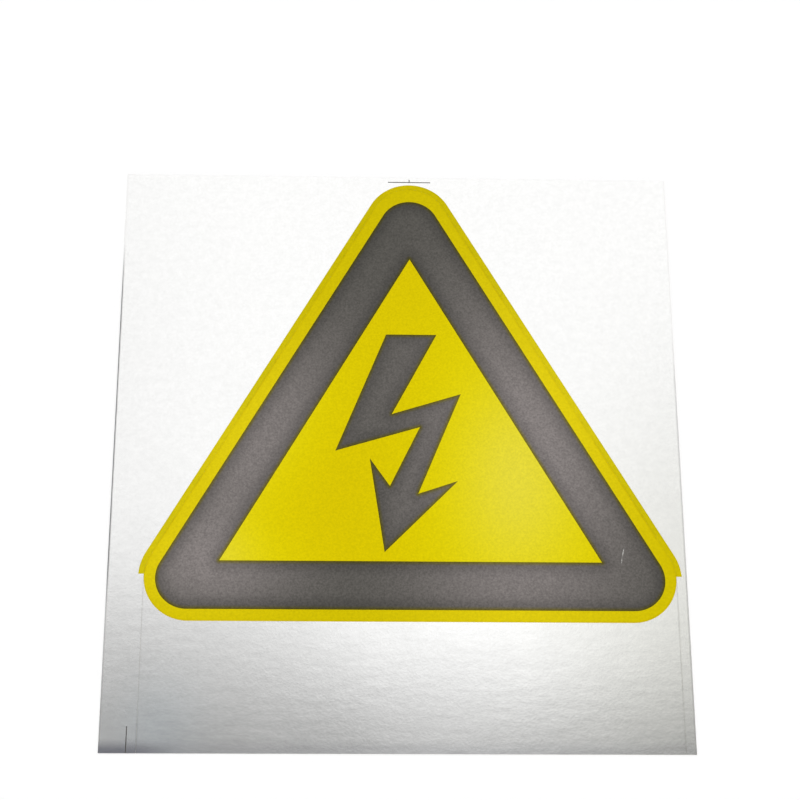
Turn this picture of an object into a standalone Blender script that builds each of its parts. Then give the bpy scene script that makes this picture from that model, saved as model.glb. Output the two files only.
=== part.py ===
"""A kiss-cut high voltage warning label of matt silver film, lying in its margin on a backing sheet.

The sheet lies face up in the XY plane, with its back at Z 0 and the sheet's centre at the origin.
The triangle points along +Y, and X runs across the sheet.
Every outline is a flat curve filled on both sides and extruded to its layer's thickness, and the
layers stack face to face: backing, film, yellow ink, black ink.
"""

from math import asin, cos, pi, radians, sin, sqrt

import bpy

MM = 0.001

# Sharp-cornered yellow triangle inside the black band
INNER_SIDE = 121.0 * MM
BAND_WIDTH = 15.75 * MM
BAND_CORNER_RADIUS = 10.1 * MM

# Yellow border between the band and the cut line
BORDER_WIDTH = 3.8 * MM
APEX_CUT_RADIUS = 13.1 * MM
SHOULDER_CUT_RADIUS = 14.2 * MM

# Yellow ink that runs past the cut line onto the margin, down to a square end beside each shoulder
BLEED_WIDTH = 1.75 * MM
BLEED_END_DROP = 4.5 * MM

# Bare caption panel below the triangle, and the margin film round the label
PANEL_DEPTH = 41.2 * MM
LEFT_MARGIN = 11.45 * MM
RIGHT_MARGIN = 3.3 * MM
TOP_MARGIN = 4.6 * MM
CUT_WIDTH = 0.06 * MM

# Arrow-headed lightning flash, placed by its lower tip from the middle of the triangle's base
FLASH_HEIGHT = 74.5 * MM
FLASH_TIP_SHIFT = -8.4 * MM
FLASH_TIP_LIFT = 3.0 * MM

# Corners of the flash from its lower tip, in flash heights, clockwise from the top left
FLASH_CORNERS = (
    (0.007, 1.000),
    (0.230, 1.000),
    (0.032, 0.625),
    (0.334, 0.720),
    (0.145, 0.261),
    (0.317, 0.320),
    (0.000, 0.000),
    (-0.064, 0.420),
    (0.023, 0.295),
    (0.154, 0.565),
    (-0.213, 0.454),
)

# Trim marks printed in black on the margin film
MARK_LINE_WIDTH = 0.3 * MM
CENTRE_MARK_LENGTH = 14.4 * MM
CENTRE_MARK_GAP = 2.65 * MM
CENTRE_TICK_LENGTH = 0.9 * MM
FOOT_MARK_LENGTH = 8.2 * MM
FOOT_MARK_INSET = 8.2 * MM

# Layer thicknesses
LINER_THICKNESS = 0.12 * MM
FILM_THICKNESS = 0.10 * MM
INK_THICKNESS = 0.02 * MM

# Largest turn between two points of an arc
ARC_STEP = radians(5.0)

# Distances of the triangle's edges from its centre: the yellow one, the band's outer one, the cut
INNER_INRADIUS = INNER_SIDE / (2.0 * sqrt(3.0))
BAND_INRADIUS = INNER_INRADIUS + BAND_WIDTH
CUT_INRADIUS = BAND_INRADIUS + BORDER_WIDTH

# Directions of the triangle's corners, anticlockwise from the apex
CORNER_DIRECTIONS = (radians(90.0), radians(210.0), radians(330.0))

# Shoulder arcs: their centres lie this far beside and below the triangle's centre
SHOULDER_REACH = 2.0 * (CUT_INRADIUS - SHOULDER_CUT_RADIUS) * cos(radians(30.0))
SHOULDER_DROP = CUT_INRADIUS - SHOULDER_CUT_RADIUS
PANEL_HALF_WIDTH = SHOULDER_REACH + SHOULDER_CUT_RADIUS
APEX_RISE = 2.0 * (CUT_INRADIUS - APEX_CUT_RADIUS)

# Sheet edges from the triangle's centre
SHEET_LEFT = -PANEL_HALF_WIDTH - LEFT_MARGIN
SHEET_RIGHT = PANEL_HALF_WIDTH + RIGHT_MARGIN
SHEET_FOOT = -CUT_INRADIUS - PANEL_DEPTH
SHEET_TOP = APEX_RISE + APEX_CUT_RADIUS + TOP_MARGIN

# The triangle's centre in the sheet's frame
CENTRE_X = -(SHEET_LEFT + SHEET_RIGHT) / 2.0
CENTRE_Y = -(SHEET_FOOT + SHEET_TOP) / 2.0

# Heights of the layers' lower faces
FILM_FLOOR = LINER_THICKNESS
YELLOW_FLOOR = FILM_FLOOR + FILM_THICKNESS
BLACK_FLOOR = YELLOW_FLOOR + INK_THICKNESS

# Base colour, roughness and metallic value of each material
SILVER_FILM = ("silver_film", (0.76, 0.76, 0.77), 0.35, 0.9)
SILVER_MARGIN = ("silver_margin", (0.76, 0.76, 0.77), 0.35, 0.9)
LINER_PAPER = ("liner_paper", (0.80, 0.79, 0.74), 0.8, 0.0)
YELLOW_INK = ("yellow_ink", (0.76, 0.60, 0.01), 0.45, 0.0)
YELLOW_BLEED_INK = ("yellow_bleed_ink", (0.76, 0.60, 0.01), 0.45, 0.0)
BLACK_INK = ("black_ink", (0.05, 0.05, 0.045), 0.4, 0.0)
FLASH_INK = ("flash_ink", (0.05, 0.05, 0.045), 0.4, 0.0)
MARK_INK = ("mark_ink", (0.05, 0.05, 0.05), 0.5, 0.0)


def clear_scene():
    """Remove every object that the file opens with."""
    for found in list(bpy.data.objects):
        bpy.data.objects.remove(found, do_unlink=True)


def make_collection(name):
    """Return a new collection in the scene."""
    collection = bpy.data.collections.new(name)
    bpy.context.scene.collection.children.link(collection)
    return collection


def make_material(finish):
    """Return the material of a finish, or the one already made for it."""
    name, colour, roughness, metallic = finish
    material = bpy.data.materials.get(name)
    if material is None:
        material = bpy.data.materials.new(name)
        material.use_nodes = True
        shader = material.node_tree.nodes["Principled BSDF"]
        shader.inputs["Base Color"].default_value = (*colour, 1.0)
        shader.inputs["Roughness"].default_value = roughness
        shader.inputs["Metallic"].default_value = metallic
        material.diffuse_color = (*colour, 1.0)
    return material


def arc(centre_x, centre_y, radius, start, end):
    """Return points along an arc, both ends included, with no turn above ARC_STEP."""
    steps = max(1, round(abs(end - start) / ARC_STEP))
    angles = [start + (end - start) * step / steps for step in range(steps + 1)]
    return [(centre_x + radius * cos(angle), centre_y + radius * sin(angle)) for angle in angles]


def rounded_triangle(inradius, corner_radii):
    """Return an equilateral outline round the triangle's centre, a corner radius for each corner."""
    points = []
    for direction, radius in zip(CORNER_DIRECTIONS, corner_radii):
        reach = 2.0 * (inradius - radius)
        start = direction - pi / 3.0
        points += arc(reach * cos(direction), reach * sin(direction), radius, start, start + 2.0 * pi / 3.0)
    return points


def sharp_triangle(inradius):
    """Return the three corners of an equilateral outline round the triangle's centre."""
    return [(2.0 * inradius * cos(angle), 2.0 * inradius * sin(angle)) for angle in CORNER_DIRECTIONS]


def cut_line(outset, shoulder_turn):
    """Return the label's upper outline from the right shoulder over the apex to the left one.

    outset moves the line outward, and shoulder_turn is the angle below the side's own normal at
    which each shoulder arc ends: 0 stops it at the side, and 30 degrees runs it to its widest point.
    """
    radius = SHOULDER_CUT_RADIUS + outset
    side = radians(30.0)
    right = arc(SHOULDER_REACH, -SHOULDER_DROP, radius, side - shoulder_turn, side)
    apex = arc(0.0, APEX_RISE, APEX_CUT_RADIUS + outset, side, pi - side)
    left = arc(-SHOULDER_REACH, -SHOULDER_DROP, radius, pi - side, pi - side + shoulder_turn)
    return right + apex + left


def label_outline(outset):
    """Return the whole label outline, moved outward by outset but cut off square at the foot."""
    half_width = PANEL_HALF_WIDTH + outset
    return cut_line(outset, radians(30.0)) + [(-half_width, SHEET_FOOT), (half_width, SHEET_FOOT)]


def margin_outline():
    """Return the arch of margin film that is left round the label, one cut's width clear of it."""
    opening = label_outline(CUT_WIDTH)
    left_foot = opening[-2]
    right_foot = opening[-1]
    right_side = [(SHEET_RIGHT, SHEET_FOOT), (SHEET_RIGHT, SHEET_TOP)]
    left_side = [(SHEET_LEFT, SHEET_TOP), (SHEET_LEFT, SHEET_FOOT)]
    return [right_foot] + right_side + left_side + [left_foot] + opening[-3::-1]


def bleed_outline():
    """Return the yellow strip outside the cut, with both ends square at the same height."""
    end_height = -INNER_INRADIUS - BLEED_END_DROP
    above_centre = end_height + SHOULDER_DROP
    rims = []
    for outset in (CUT_WIDTH, BLEED_WIDTH):
        end_angle = asin(above_centre / (SHOULDER_CUT_RADIUS + outset))
        rims.append(cut_line(outset, radians(30.0) - end_angle))
    inner_rim, outer_rim = rims
    return outer_rim + inner_rim[::-1]


def flash_outline():
    """Return the lightning flash in the triangle's frame."""
    tip_y = -INNER_INRADIUS + FLASH_TIP_LIFT
    return [(FLASH_TIP_SHIFT + FLASH_HEIGHT * x, tip_y + FLASH_HEIGHT * y) for x, y in FLASH_CORNERS]


def centre_mark_outline():
    """Return the trim mark above the apex: a line across with a tick up from its middle."""
    low = APEX_RISE + APEX_CUT_RADIUS + CENTRE_MARK_GAP
    high = low + MARK_LINE_WIDTH
    half_length = CENTRE_MARK_LENGTH / 2.0
    half_line = MARK_LINE_WIDTH / 2.0
    tick_top = high + CENTRE_TICK_LENGTH
    right_half = [(half_length, low), (half_length, high), (half_line, high), (half_line, tick_top)]
    left_half = [(-x, y) for x, y in reversed(right_half)]
    return right_half + left_half


def foot_mark_outline():
    """Return the upright trim line that stands on the sheet's foot in the left margin."""
    left = SHEET_LEFT + FOOT_MARK_INSET
    right = left + MARK_LINE_WIDTH
    head = SHEET_FOOT + FOOT_MARK_LENGTH
    return [(left, SHEET_FOOT), (right, SHEET_FOOT), (right, head), (left, head)]


def sheet_outline():
    """Return the backing sheet's rectangle in the triangle's frame."""
    foot = [(SHEET_LEFT, SHEET_FOOT), (SHEET_RIGHT, SHEET_FOOT)]
    top = [(SHEET_RIGHT, SHEET_TOP), (SHEET_LEFT, SHEET_TOP)]
    return foot + top


def make_layer(name, outlines, floor, thickness, finish, collection):
    """Add one flat layer: its outlines filled, holes left open, and extruded up from floor."""
    curve = bpy.data.curves.new(name, "CURVE")
    curve.dimensions = "2D"
    curve.fill_mode = "BOTH"
    curve.extrude = thickness / 2.0
    for outline in outlines:
        spline = curve.splines.new("POLY")
        spline.points.add(len(outline) - 1)
        for point, (x, y) in zip(spline.points, outline):
            point.co = (x, y, 0.0, 1.0)
        spline.use_cyclic_u = True
    layer = bpy.data.objects.new(name, curve)
    layer.location = (CENTRE_X, CENTRE_Y, floor + thickness / 2.0)
    layer.data.materials.append(make_material(finish))
    collection.objects.link(layer)
    return layer


def build_backing(collection):
    """Add the backing sheet."""
    make_layer("release_liner", [sheet_outline()], 0.0, LINER_THICKNESS, LINER_PAPER, collection)


def build_films(collection):
    """Add the label film and the margin film that is left round it."""
    make_layer("label_film", [label_outline(0.0)], FILM_FLOOR, FILM_THICKNESS, SILVER_FILM, collection)
    make_layer("margin_film", [margin_outline()], FILM_FLOOR, FILM_THICKNESS, SILVER_MARGIN, collection)


def build_yellow_print(collection):
    """Add the yellow field on the label and the bleed past its cut."""
    radii = (APEX_CUT_RADIUS, SHOULDER_CUT_RADIUS, SHOULDER_CUT_RADIUS)
    field = rounded_triangle(CUT_INRADIUS, radii)
    make_layer("yellow_field", [field], YELLOW_FLOOR, INK_THICKNESS, YELLOW_INK, collection)
    make_layer("yellow_bleed", [bleed_outline()], YELLOW_FLOOR, INK_THICKNESS, YELLOW_BLEED_INK, collection)


def build_black_print(collection):
    """Add the triangular band and the lightning flash over the yellow."""
    rim = rounded_triangle(BAND_INRADIUS, (BAND_CORNER_RADIUS,) * 3)
    band = [rim, sharp_triangle(INNER_INRADIUS)]
    make_layer("black_band", band, BLACK_FLOOR, INK_THICKNESS, BLACK_INK, collection)
    make_layer("lightning_flash", [flash_outline()], BLACK_FLOOR, INK_THICKNESS, FLASH_INK, collection)


def build_trim_marks(collection):
    """Add the two trim marks on the margin film."""
    outlines = {"top_centre_mark": centre_mark_outline(), "foot_mark": foot_mark_outline()}
    for name, outline in outlines.items():
        make_layer(name, [outline], YELLOW_FLOOR, INK_THICKNESS, MARK_INK, collection)


def main():
    """Build the warning label sheet."""
    clear_scene()
    collection = make_collection("high_voltage_warning_sign")
    build_backing(collection)
    build_films(collection)
    build_yellow_print(collection)
    build_black_print(collection)
    build_trim_marks(collection)
    bpy.context.view_layer.update()


main()
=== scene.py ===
"""Looks of a kiss-cut high voltage warning label that lies face up in its margin on the backing sheet.

The sheet is matt silver film on siliconed paper. Yellow ink covers the triangle and runs a little past
its cut line, and the black band and the lightning flash are printed over it. The inks are built here as
thin layers with rounded rims, and the film, the paper and the trim marks are the frame's own nodes in
procedural finishes. Everything is in metres in the frame's own axes: X across the sheet, Y towards the
triangle's apex, Z up out of the printed face.
"""

import logging
import math
from dataclasses import dataclass
from enum import Enum
from functools import cached_property
from typing import Any

import bmesh
import bpy
import numpy as np
from mathutils import Matrix, Vector
from mathutils.geometry import delaunay_2d_cdt


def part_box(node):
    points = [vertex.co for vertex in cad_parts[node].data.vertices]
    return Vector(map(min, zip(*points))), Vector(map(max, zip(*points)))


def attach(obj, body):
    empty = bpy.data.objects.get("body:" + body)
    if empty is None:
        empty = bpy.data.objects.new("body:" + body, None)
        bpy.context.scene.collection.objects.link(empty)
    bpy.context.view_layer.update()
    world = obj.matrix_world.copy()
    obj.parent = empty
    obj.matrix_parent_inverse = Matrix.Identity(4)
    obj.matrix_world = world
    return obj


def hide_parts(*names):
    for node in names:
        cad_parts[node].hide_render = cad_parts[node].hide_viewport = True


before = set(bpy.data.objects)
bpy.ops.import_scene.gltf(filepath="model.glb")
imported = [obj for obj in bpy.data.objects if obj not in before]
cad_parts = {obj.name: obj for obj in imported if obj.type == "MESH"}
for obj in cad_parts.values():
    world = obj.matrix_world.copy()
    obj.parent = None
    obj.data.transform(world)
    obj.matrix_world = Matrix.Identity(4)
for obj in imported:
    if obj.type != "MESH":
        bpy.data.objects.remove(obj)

log = logging.getLogger("warning_label")

MM = 0.001
BODY = "root"
RIM_ATTRIBUTE = "rim_distance"
IMAGE_WIDTH_PX = 800
SENSOR_WIDTH_MM = 36.0
FLOAT = "NodeSocketFloat"
VECTOR = "NodeSocketVector"
NOISE_SPAN = (0.3, 0.7)
NEAR_STEPS = (0.15 * MM, 0.35 * MM, 0.6 * MM, 0.9 * MM)
FAR_STEPS = (1.3 * MM, 1.8 * MM, 2.5 * MM, 3.4 * MM, 4.6 * MM, 6.0 * MM, 7.2 * MM)

Socket = bpy.types.NodeSocket
Tree = bpy.types.NodeTree
Material = bpy.types.Material
Piece = bpy.types.Object
Colour = tuple[float, float, float, float]
Span = tuple[Any, Any]
Triple = tuple[float, float, float]

WHITE: Colour = (1.0, 1.0, 1.0, 1.0)


def display(red: float, green: float, blue: float) -> Colour:
    """Return the linear colour of a display colour.

    Args:
        red: Red as a screen shows it, 0 to 255.
        green: Green as a screen shows it, 0 to 255.
        blue: Blue as a screen shows it, 0 to 255.

    Returns:
        The linear colour, with alpha 1: each value is taken through the display curve backwards.
    """
    shown = np.array((red, green, blue)) / 255.0
    linear = np.where(shown <= 0.04045, shown / 12.92, ((shown + 0.055) / 1.055) ** 2.4)
    return (*linear.tolist(), 1.0)


class Maths(Enum):
    """Sums that one math node does."""

    ADD = "ADD"
    SUBTRACT = "SUBTRACT"
    MULTIPLY = "MULTIPLY"
    DIVIDE = "DIVIDE"
    MULTIPLY_ADD = "MULTIPLY_ADD"
    ABSOLUTE = "ABSOLUTE"
    MAXIMUM = "MAXIMUM"
    MINIMUM = "MINIMUM"
    POWER = "POWER"
    ROOT = "SQRT"


class Ramp(Enum):
    """Ways in which a value runs from one end of a range to the other."""

    STRAIGHT = "LINEAR"
    SOFT = "SMOOTHSTEP"


@dataclass(frozen=True)
class SoftPatch:
    """A soft oval: its centre, its reach along and across its own length, its turn and its strength."""

    centre_x: float
    centre_y: float
    along: float
    across: float
    turn: float = 0.0
    strength: float = 1.0


class Graph:
    """Adds nodes to one node tree and joins them."""

    def __init__(self, tree: Tree) -> None:
        """Keep the tree that the nodes go into."""
        self.tree = tree

    def add(self, kind: str, inputs: dict[Any, Any] | None = None, **options: Any) -> bpy.types.Node:
        """Add a node.

        Args:
            kind: The node's type.
            inputs: A value or an output socket for each input, by name or number.
            options: The node's own options by name.

        Returns:
            The new node.
        """
        node = self.tree.nodes.new(kind)
        for name, value in options.items():
            setattr(node, name, value)
        for key, value in (inputs or {}).items():
            self.feed(node.inputs[key], value)
        return node

    def feed(self, socket: Socket, value: Any) -> None:
        """Join an output to an input socket, or set the socket's own value.

        Args:
            socket: The input socket.
            value: The output socket, or the value.
        """
        if isinstance(value, Socket):
            self.tree.links.new(value, socket)
        else:
            socket.default_value = value

    def effect(self, group: Tree, values: dict[str, float] | None = None) -> Any:
        """Place a shared effect with values for the named inputs, and return its outputs."""
        return self.add("ShaderNodeGroup", values, node_tree=group).outputs

    def maths(self, sum_kind: Maths, *values: Any) -> Socket:
        """Return the result of a math node on up to three values."""
        return self.add("ShaderNodeMath", dict(enumerate(values)), operation=sum_kind.value).outputs[0]

    def product(self, first: Any, second: Any) -> Socket:
        """Return first times second."""
        return self.maths(Maths.MULTIPLY, first, second)

    def less(self, first: Any, second: Any) -> Socket:
        """Return first less second."""
        return self.maths(Maths.SUBTRACT, first, second)

    def ranged(self, value: Any, span: Span, low: Any = 0.0, high: Any = 1.0,
               ramp: Ramp = Ramp.SOFT) -> Socket:
        """Return low where value is at the span's start, high where it is at its end, and a ramp between.

        Args:
            value: The value to read.
            span: Where the ramp starts and where it ends, which may lie below the start.
            low: The result at the start.
            high: The result at the end.
            ramp: The ramp's form.

        Returns:
            The output socket.
        """
        inputs = {"Value": value, "From Min": span[0], "From Max": span[1], "To Min": low, "To Max": high}
        return self.add("ShaderNodeMapRange", inputs, interpolation_type=ramp.value).outputs["Result"]

    def around(self, tone: Socket, middle: float, swing: float) -> Socket:
        """Return middle, less swing where a noise is low and plus swing where it is high."""
        return self.ranged(tone, NOISE_SPAN, middle - swing, middle + swing, Ramp.STRAIGHT)

    def blend(self, factor: Any, first: Any, second: Any) -> Socket:
        """Return the colour that goes from first to second as factor goes from 0 to 1."""
        return self.add("ShaderNodeMix", {0: factor, 6: first, 7: second}, data_type="RGBA").outputs[2]

    def scaled(self, colour: Any, factor: Any) -> Socket:
        """Return a colour with each channel multiplied by factor."""
        return self.add("ShaderNodeVectorMath", {0: colour, "Scale": factor}, operation="SCALE").outputs[0]

    def tinted(self, colour: Any, tint: Colour) -> Socket:
        """Return a colour with each channel multiplied by the tint's."""
        return self.add("ShaderNodeVectorMath", {0: colour, 1: tint[:3]}, operation="MULTIPLY").outputs[0]

    def position(self) -> Socket:
        """Return the object coordinates."""
        return self.add("ShaderNodeTexCoord").outputs["Object"]

    def place(self) -> tuple[Socket, Socket]:
        """Return X and Y in metres on the sheet."""
        parts = self.add("ShaderNodeSeparateXYZ", {0: self.position()}).outputs
        return parts["X"], parts["Y"]

    def from_edge(self) -> Socket:
        """Return the distance to the printed edge, which each ink layer carries as an attribute."""
        return self.add("ShaderNodeAttribute", attribute_name=RIM_ATTRIBUTE).outputs["Fac"]

    def patch(self, where: Socket, patch: SoftPatch) -> Socket:
        """Return a mask that falls off softly round an oval.

        Args:
            where: The place to read, as a vector.
            patch: The oval.

        Returns:
            Its strength times e to the power of -(p * p + q * q), where p and q are the place's parts
            along and across the oval, in its reaches.
        """
        inputs = {0: where, "Location": (patch.centre_x, patch.centre_y, 0.0),
                  "Rotation": (0.0, 0.0, patch.turn), "Scale": (patch.along, patch.across, 1.0)}
        local = self.add("ShaderNodeMapping", inputs, vector_type="TEXTURE").outputs[0]
        parts = self.add("ShaderNodeSeparateXYZ", {0: local}).outputs
        squares = [self.product(parts[axis], parts[axis]) for axis in "XY"]
        falling = self.product(self.maths(Maths.ADD, *squares), -1.0)
        return self.product(self.maths(Maths.POWER, math.e, falling), patch.strength)

    def noise(self, size: Any, detail: float = 2.0, roughness: float = 0.5, offset: float = 0.0,
              stretch: Triple = (1.0, 1.0, 1.0)) -> Socket:
        """Return soft noise around 0.5.

        Args:
            size: Width of the blotches in metres.
            detail: Number of finer layers.
            roughness: Weight of the finer layers.
            offset: Place in the noise, so that two effects differ.
            stretch: How many times narrower the blotches are along each axis.

        Returns:
            The output socket.
        """
        moved = {0: self.position(), "Location": (offset, offset, offset), "Scale": stretch}
        where = self.add("ShaderNodeMapping", moved).outputs[0]
        frequency = self.maths(Maths.DIVIDE, 1.0, size)
        inputs = {"Vector": where, "Scale": frequency, "Detail": detail, "Roughness": roughness}
        return self.add("ShaderNodeTexNoise", inputs).outputs[0]

    def wavering(self, distance: Socket, amount: Any, noise: Socket) -> Socket:
        """Return distance plus amount times the noise less 0.5, so that a mask of it isn't ruled."""
        return self.maths(Maths.MULTIPLY_ADD, self.less(noise, 0.5), amount, distance)

    def bumped(self, height: Socket, depth: Any, **under: Socket) -> Socket:
        """Return the normals of a height that is depth metres from valley to top, on the Normal given."""
        inputs = {"Strength": 1.0, "Distance": depth, "Height": height, **under}
        return self.add("ShaderNodeBump", inputs).outputs["Normal"]


class EffectGroup(Graph):
    """A shader node group with named inputs and outputs."""

    def __init__(self, name: str, inputs: dict[str, float], outputs: dict[str, str]) -> None:
        """Make the empty group.

        Args:
            name: The group's name.
            inputs: Each input's name and first value.
            outputs: Each output's name and socket type.
        """
        super().__init__(bpy.data.node_groups.new(name, "ShaderNodeTree"))
        for label, value in inputs.items():
            socket = self.tree.interface.new_socket(name=label, in_out="INPUT", socket_type=FLOAT)
            socket.default_value = value
        for label, kind in outputs.items():
            self.tree.interface.new_socket(name=label, in_out="OUTPUT", socket_type=kind)
        self.given = self.add("NodeGroupInput").outputs
        self.result = self.add("NodeGroupOutput").inputs

    def finish(self, **results: Socket) -> Tree:
        """Join the results to the group's outputs.

        Args:
            results: An output socket for each of the group's outputs, by name.

        Returns:
            The group.
        """
        for label, socket in results.items():
            self.feed(self.result[label], socket)
        return self.tree


@dataclass
class Effects:
    """The effects that the finishes share, each one node group.

    A span gives two places on the sheet, in metres, between which an effect changes.
    """

    # Soft patches of painted sheen: reflected light, painted into the inks' colour.
    painted_light_patches: tuple[SoftPatch, ...] = (
        SoftPatch(-46.0 * MM, 1.2 * MM, 41.6 * MM, 19.0 * MM, math.radians(59.9), 0.75),
        SoftPatch(-56.5 * MM, -39.2 * MM, 27.6 * MM, 15.8 * MM, 0.0, 0.65),
        SoftPatch(38.6 * MM, -9.2 * MM, 34.0 * MM, 63.1 * MM, math.radians(-1.6), 1.0),
    )
    fine_weight: float = 0.6
    wide_weight: float = 0.4
    wide_pebble: float = 3.0
    seam: float = 1.0 * MM
    faint_side: float = 0.06
    dull_and_shaded_side: float = 0.42
    right_span: Span = (45.0 * MM, 15.0 * MM)
    left_head_span: Span = (75.0 * MM, 52.0 * MM)
    left_foot_span: Span = (-55.0 * MM, -38.0 * MM)
    foot_full: float = 0.4 * MM
    foot_plain: float = 0.2
    foot_corner_span: Span = (30.0 * MM, 6.0 * MM)
    cut_top: float = -42.7 * MM
    cut_right: float = 0.6
    cut_left: float = 0.3
    cut_left_span: Span = (-84.0 * MM, -91.0 * MM)

    @cached_property
    def pebble(self) -> Tree:
        """The fine uneven face of rolled film.

        Returns:
            A group. Its Grain is noise at the pebble's size, around 0.5, its Tone adds a wider one to it,
            and its Normal is Tone as height, Depth metres from valley to top.
        """
        group = EffectGroup("pebble", {"Size": 0.8 * MM, "Depth": 0.01 * MM},
                            {"Grain": FLOAT, "Tone": FLOAT, "Normal": VECTOR})
        size, depth = group.given["Size"], group.given["Depth"]
        fine = group.noise(size, detail=2.0, roughness=0.6)
        wide = group.noise(group.product(size, self.wide_pebble), detail=1.0, offset=3.7)
        tone = group.maths(Maths.MULTIPLY_ADD, fine, self.fine_weight, group.product(wide, self.wide_weight))
        return group.finish(Grain=fine, Tone=tone, Normal=group.bumped(tone, depth))

    @cached_property
    def sheen(self) -> Tree:
        """The broad uneven sheen of the inks.

        Returns:
            A group whose Tone is the sum of the soft patches of painted light.
        """
        group = EffectGroup("ink_painted_sheen", {}, {"Tone": FLOAT})
        where = group.position()
        tone = group.patch(where, self.painted_light_patches[0])
        for patch in self.painted_light_patches[1:]:
            tone = group.maths(Maths.ADD, tone, group.patch(where, patch))
        return group.finish(Tone=tone)

    @cached_property
    def rim(self) -> Tree:
        """The mask along a printed edge.

        Returns:
            A group whose Mask is 1 at the edge and falls to 0 at Width from it, and wavers by Waver.
        """
        group = EffectGroup("ink_rim", {"Width": 0.8 * MM, "Waver": 0.2 * MM}, {"Mask": FLOAT})
        noise = group.noise(1.5 * MM, offset=5.1)
        uneven = group.wavering(group.from_edge(), group.given["Waver"], noise)
        return group.finish(Mask=group.ranged(uneven, (group.given["Width"], 0.0)))

    @cached_property
    def sheet_edge(self) -> Tree:
        """The masks along the sheet's trimmed edges: 1 at the edge, falling to 0 at a reach from it.

        Returns:
            A group. Its Side is for the two long sides, by half the width less the size of X. It is
            strongest along the upper left side, and fades towards the head. Its Foot is for the foot, by
            Y plus half the length, and is strongest at the left corner. Both waver a little. The film paints
            shade along its edges by both, and is dulled by Side.
        """
        low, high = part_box("release_liner")
        inputs = {"Half Width": (high.x - low.x) / 2.0, "Half Length": (high.y - low.y) / 2.0,
                  "Side Reach": 0.5 * MM, "Foot Reach": 2.0 * MM}
        group = EffectGroup("sheet_edge", inputs, {"Side": FLOAT, "Foot": FLOAT})
        half_width, half_length, side_reach, foot_reach = [group.given[label] for label in inputs]
        across, along = group.place()
        noise = group.noise(6.0 * MM, offset=8.3)
        to_side = group.less(half_width, group.maths(Maths.ABSOLUTE, across))
        side = group.ranged(group.wavering(to_side, 0.2 * MM, noise), (side_reach, 0.0))
        right = group.ranged(along, self.right_span, self.faint_side, self.dull_and_shaded_side)
        left = group.maths(Maths.MINIMUM, group.ranged(along, self.left_head_span, self.faint_side),
                           group.ranged(along, self.left_foot_span, self.dull_and_shaded_side))
        side_fade = group.ranged(across, (self.seam, -self.seam), right, left)
        to_foot = group.maths(Maths.ADD, along, half_length)
        foot = group.ranged(group.wavering(to_foot, 1.0 * MM, noise), (foot_reach, self.foot_full))
        to_corner = group.maths(Maths.ADD, across, half_width)
        foot_fade = group.ranged(to_corner, self.foot_corner_span, self.foot_plain)
        return group.finish(Side=group.product(side, side_fade), Foot=group.product(foot, foot_fade))

    @cached_property
    def cut_line(self) -> Tree:
        """The mask along the panel's two cut lines, where the film is pressed down beside the cut, and which
        the film darkens as painted shade in that groove.

        Returns:
            A group whose Mask is 1 at a line and falls to 0 at Width from it, unevenly. The lines run up
            from the foot at the label's greatest width, and end at Top, where they meet the shoulders.
            The left one is faint above the foot.
        """
        low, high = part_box("label_film")
        inputs = {"Left": low.x, "Right": high.x, "Top": self.cut_top, "Width": 0.45 * MM}
        group = EffectGroup("cut_line", inputs, {"Mask": FLOAT})
        left, right, top, width = [group.given[label] for label in inputs]
        across, along = group.place()
        gaps = [group.maths(Maths.ABSOLUTE, group.less(across, line)) for line in (left, right)]
        noise = group.noise(3.0 * MM, offset=9.4, stretch=(1.0, 0.4, 1.0))
        uneven = group.wavering(group.maths(Maths.MINIMUM, *gaps), 0.5 * MM, noise)
        pressed = group.ranged(uneven, (width, 0.0))
        ended = group.product(pressed, group.ranged(group.less(top, along), (0.0, 1.0 * MM)))
        left_fade = group.ranged(along, self.cut_left_span, self.cut_left)
        side_fade = group.ranged(across, (-self.seam, self.seam), left_fade, self.cut_right)
        return group.finish(Mask=group.product(ended, side_fade))

    @cached_property
    def fibres(self) -> Tree:
        """The felt of paper fibres: two noises drawn out along X and along Y, the larger of them.

        Returns:
            A group whose Tone is around 0.5 and whose Normal is that tone as height, Depth metres from
            valley to top.
        """
        group = EffectGroup("paper_fibres", {"Size": 0.25 * MM, "Depth": 0.01 * MM},
                            {"Tone": FLOAT, "Normal": VECTOR})
        size, depth = group.given["Size"], group.given["Depth"]
        lengthwise = group.noise(size, detail=3.0, stretch=(0.2, 1.0, 1.0))
        crosswise = group.noise(size, detail=3.0, offset=4.4, stretch=(1.0, 0.25, 1.0))
        tone = group.maths(Maths.MAXIMUM, lengthwise, crosswise)
        return group.finish(Tone=tone, Normal=group.bumped(tone, depth))


def new_material(name: str) -> tuple[Material, Graph, Any]:
    """Make a material.

    Args:
        name: Its name.

    Returns:
        The material, its graph and its shader's input sockets.
    """
    material = bpy.data.materials.new(name)
    material.use_nodes = True
    return material, Graph(material.node_tree), material.node_tree.nodes["Principled BSDF"].inputs


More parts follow.
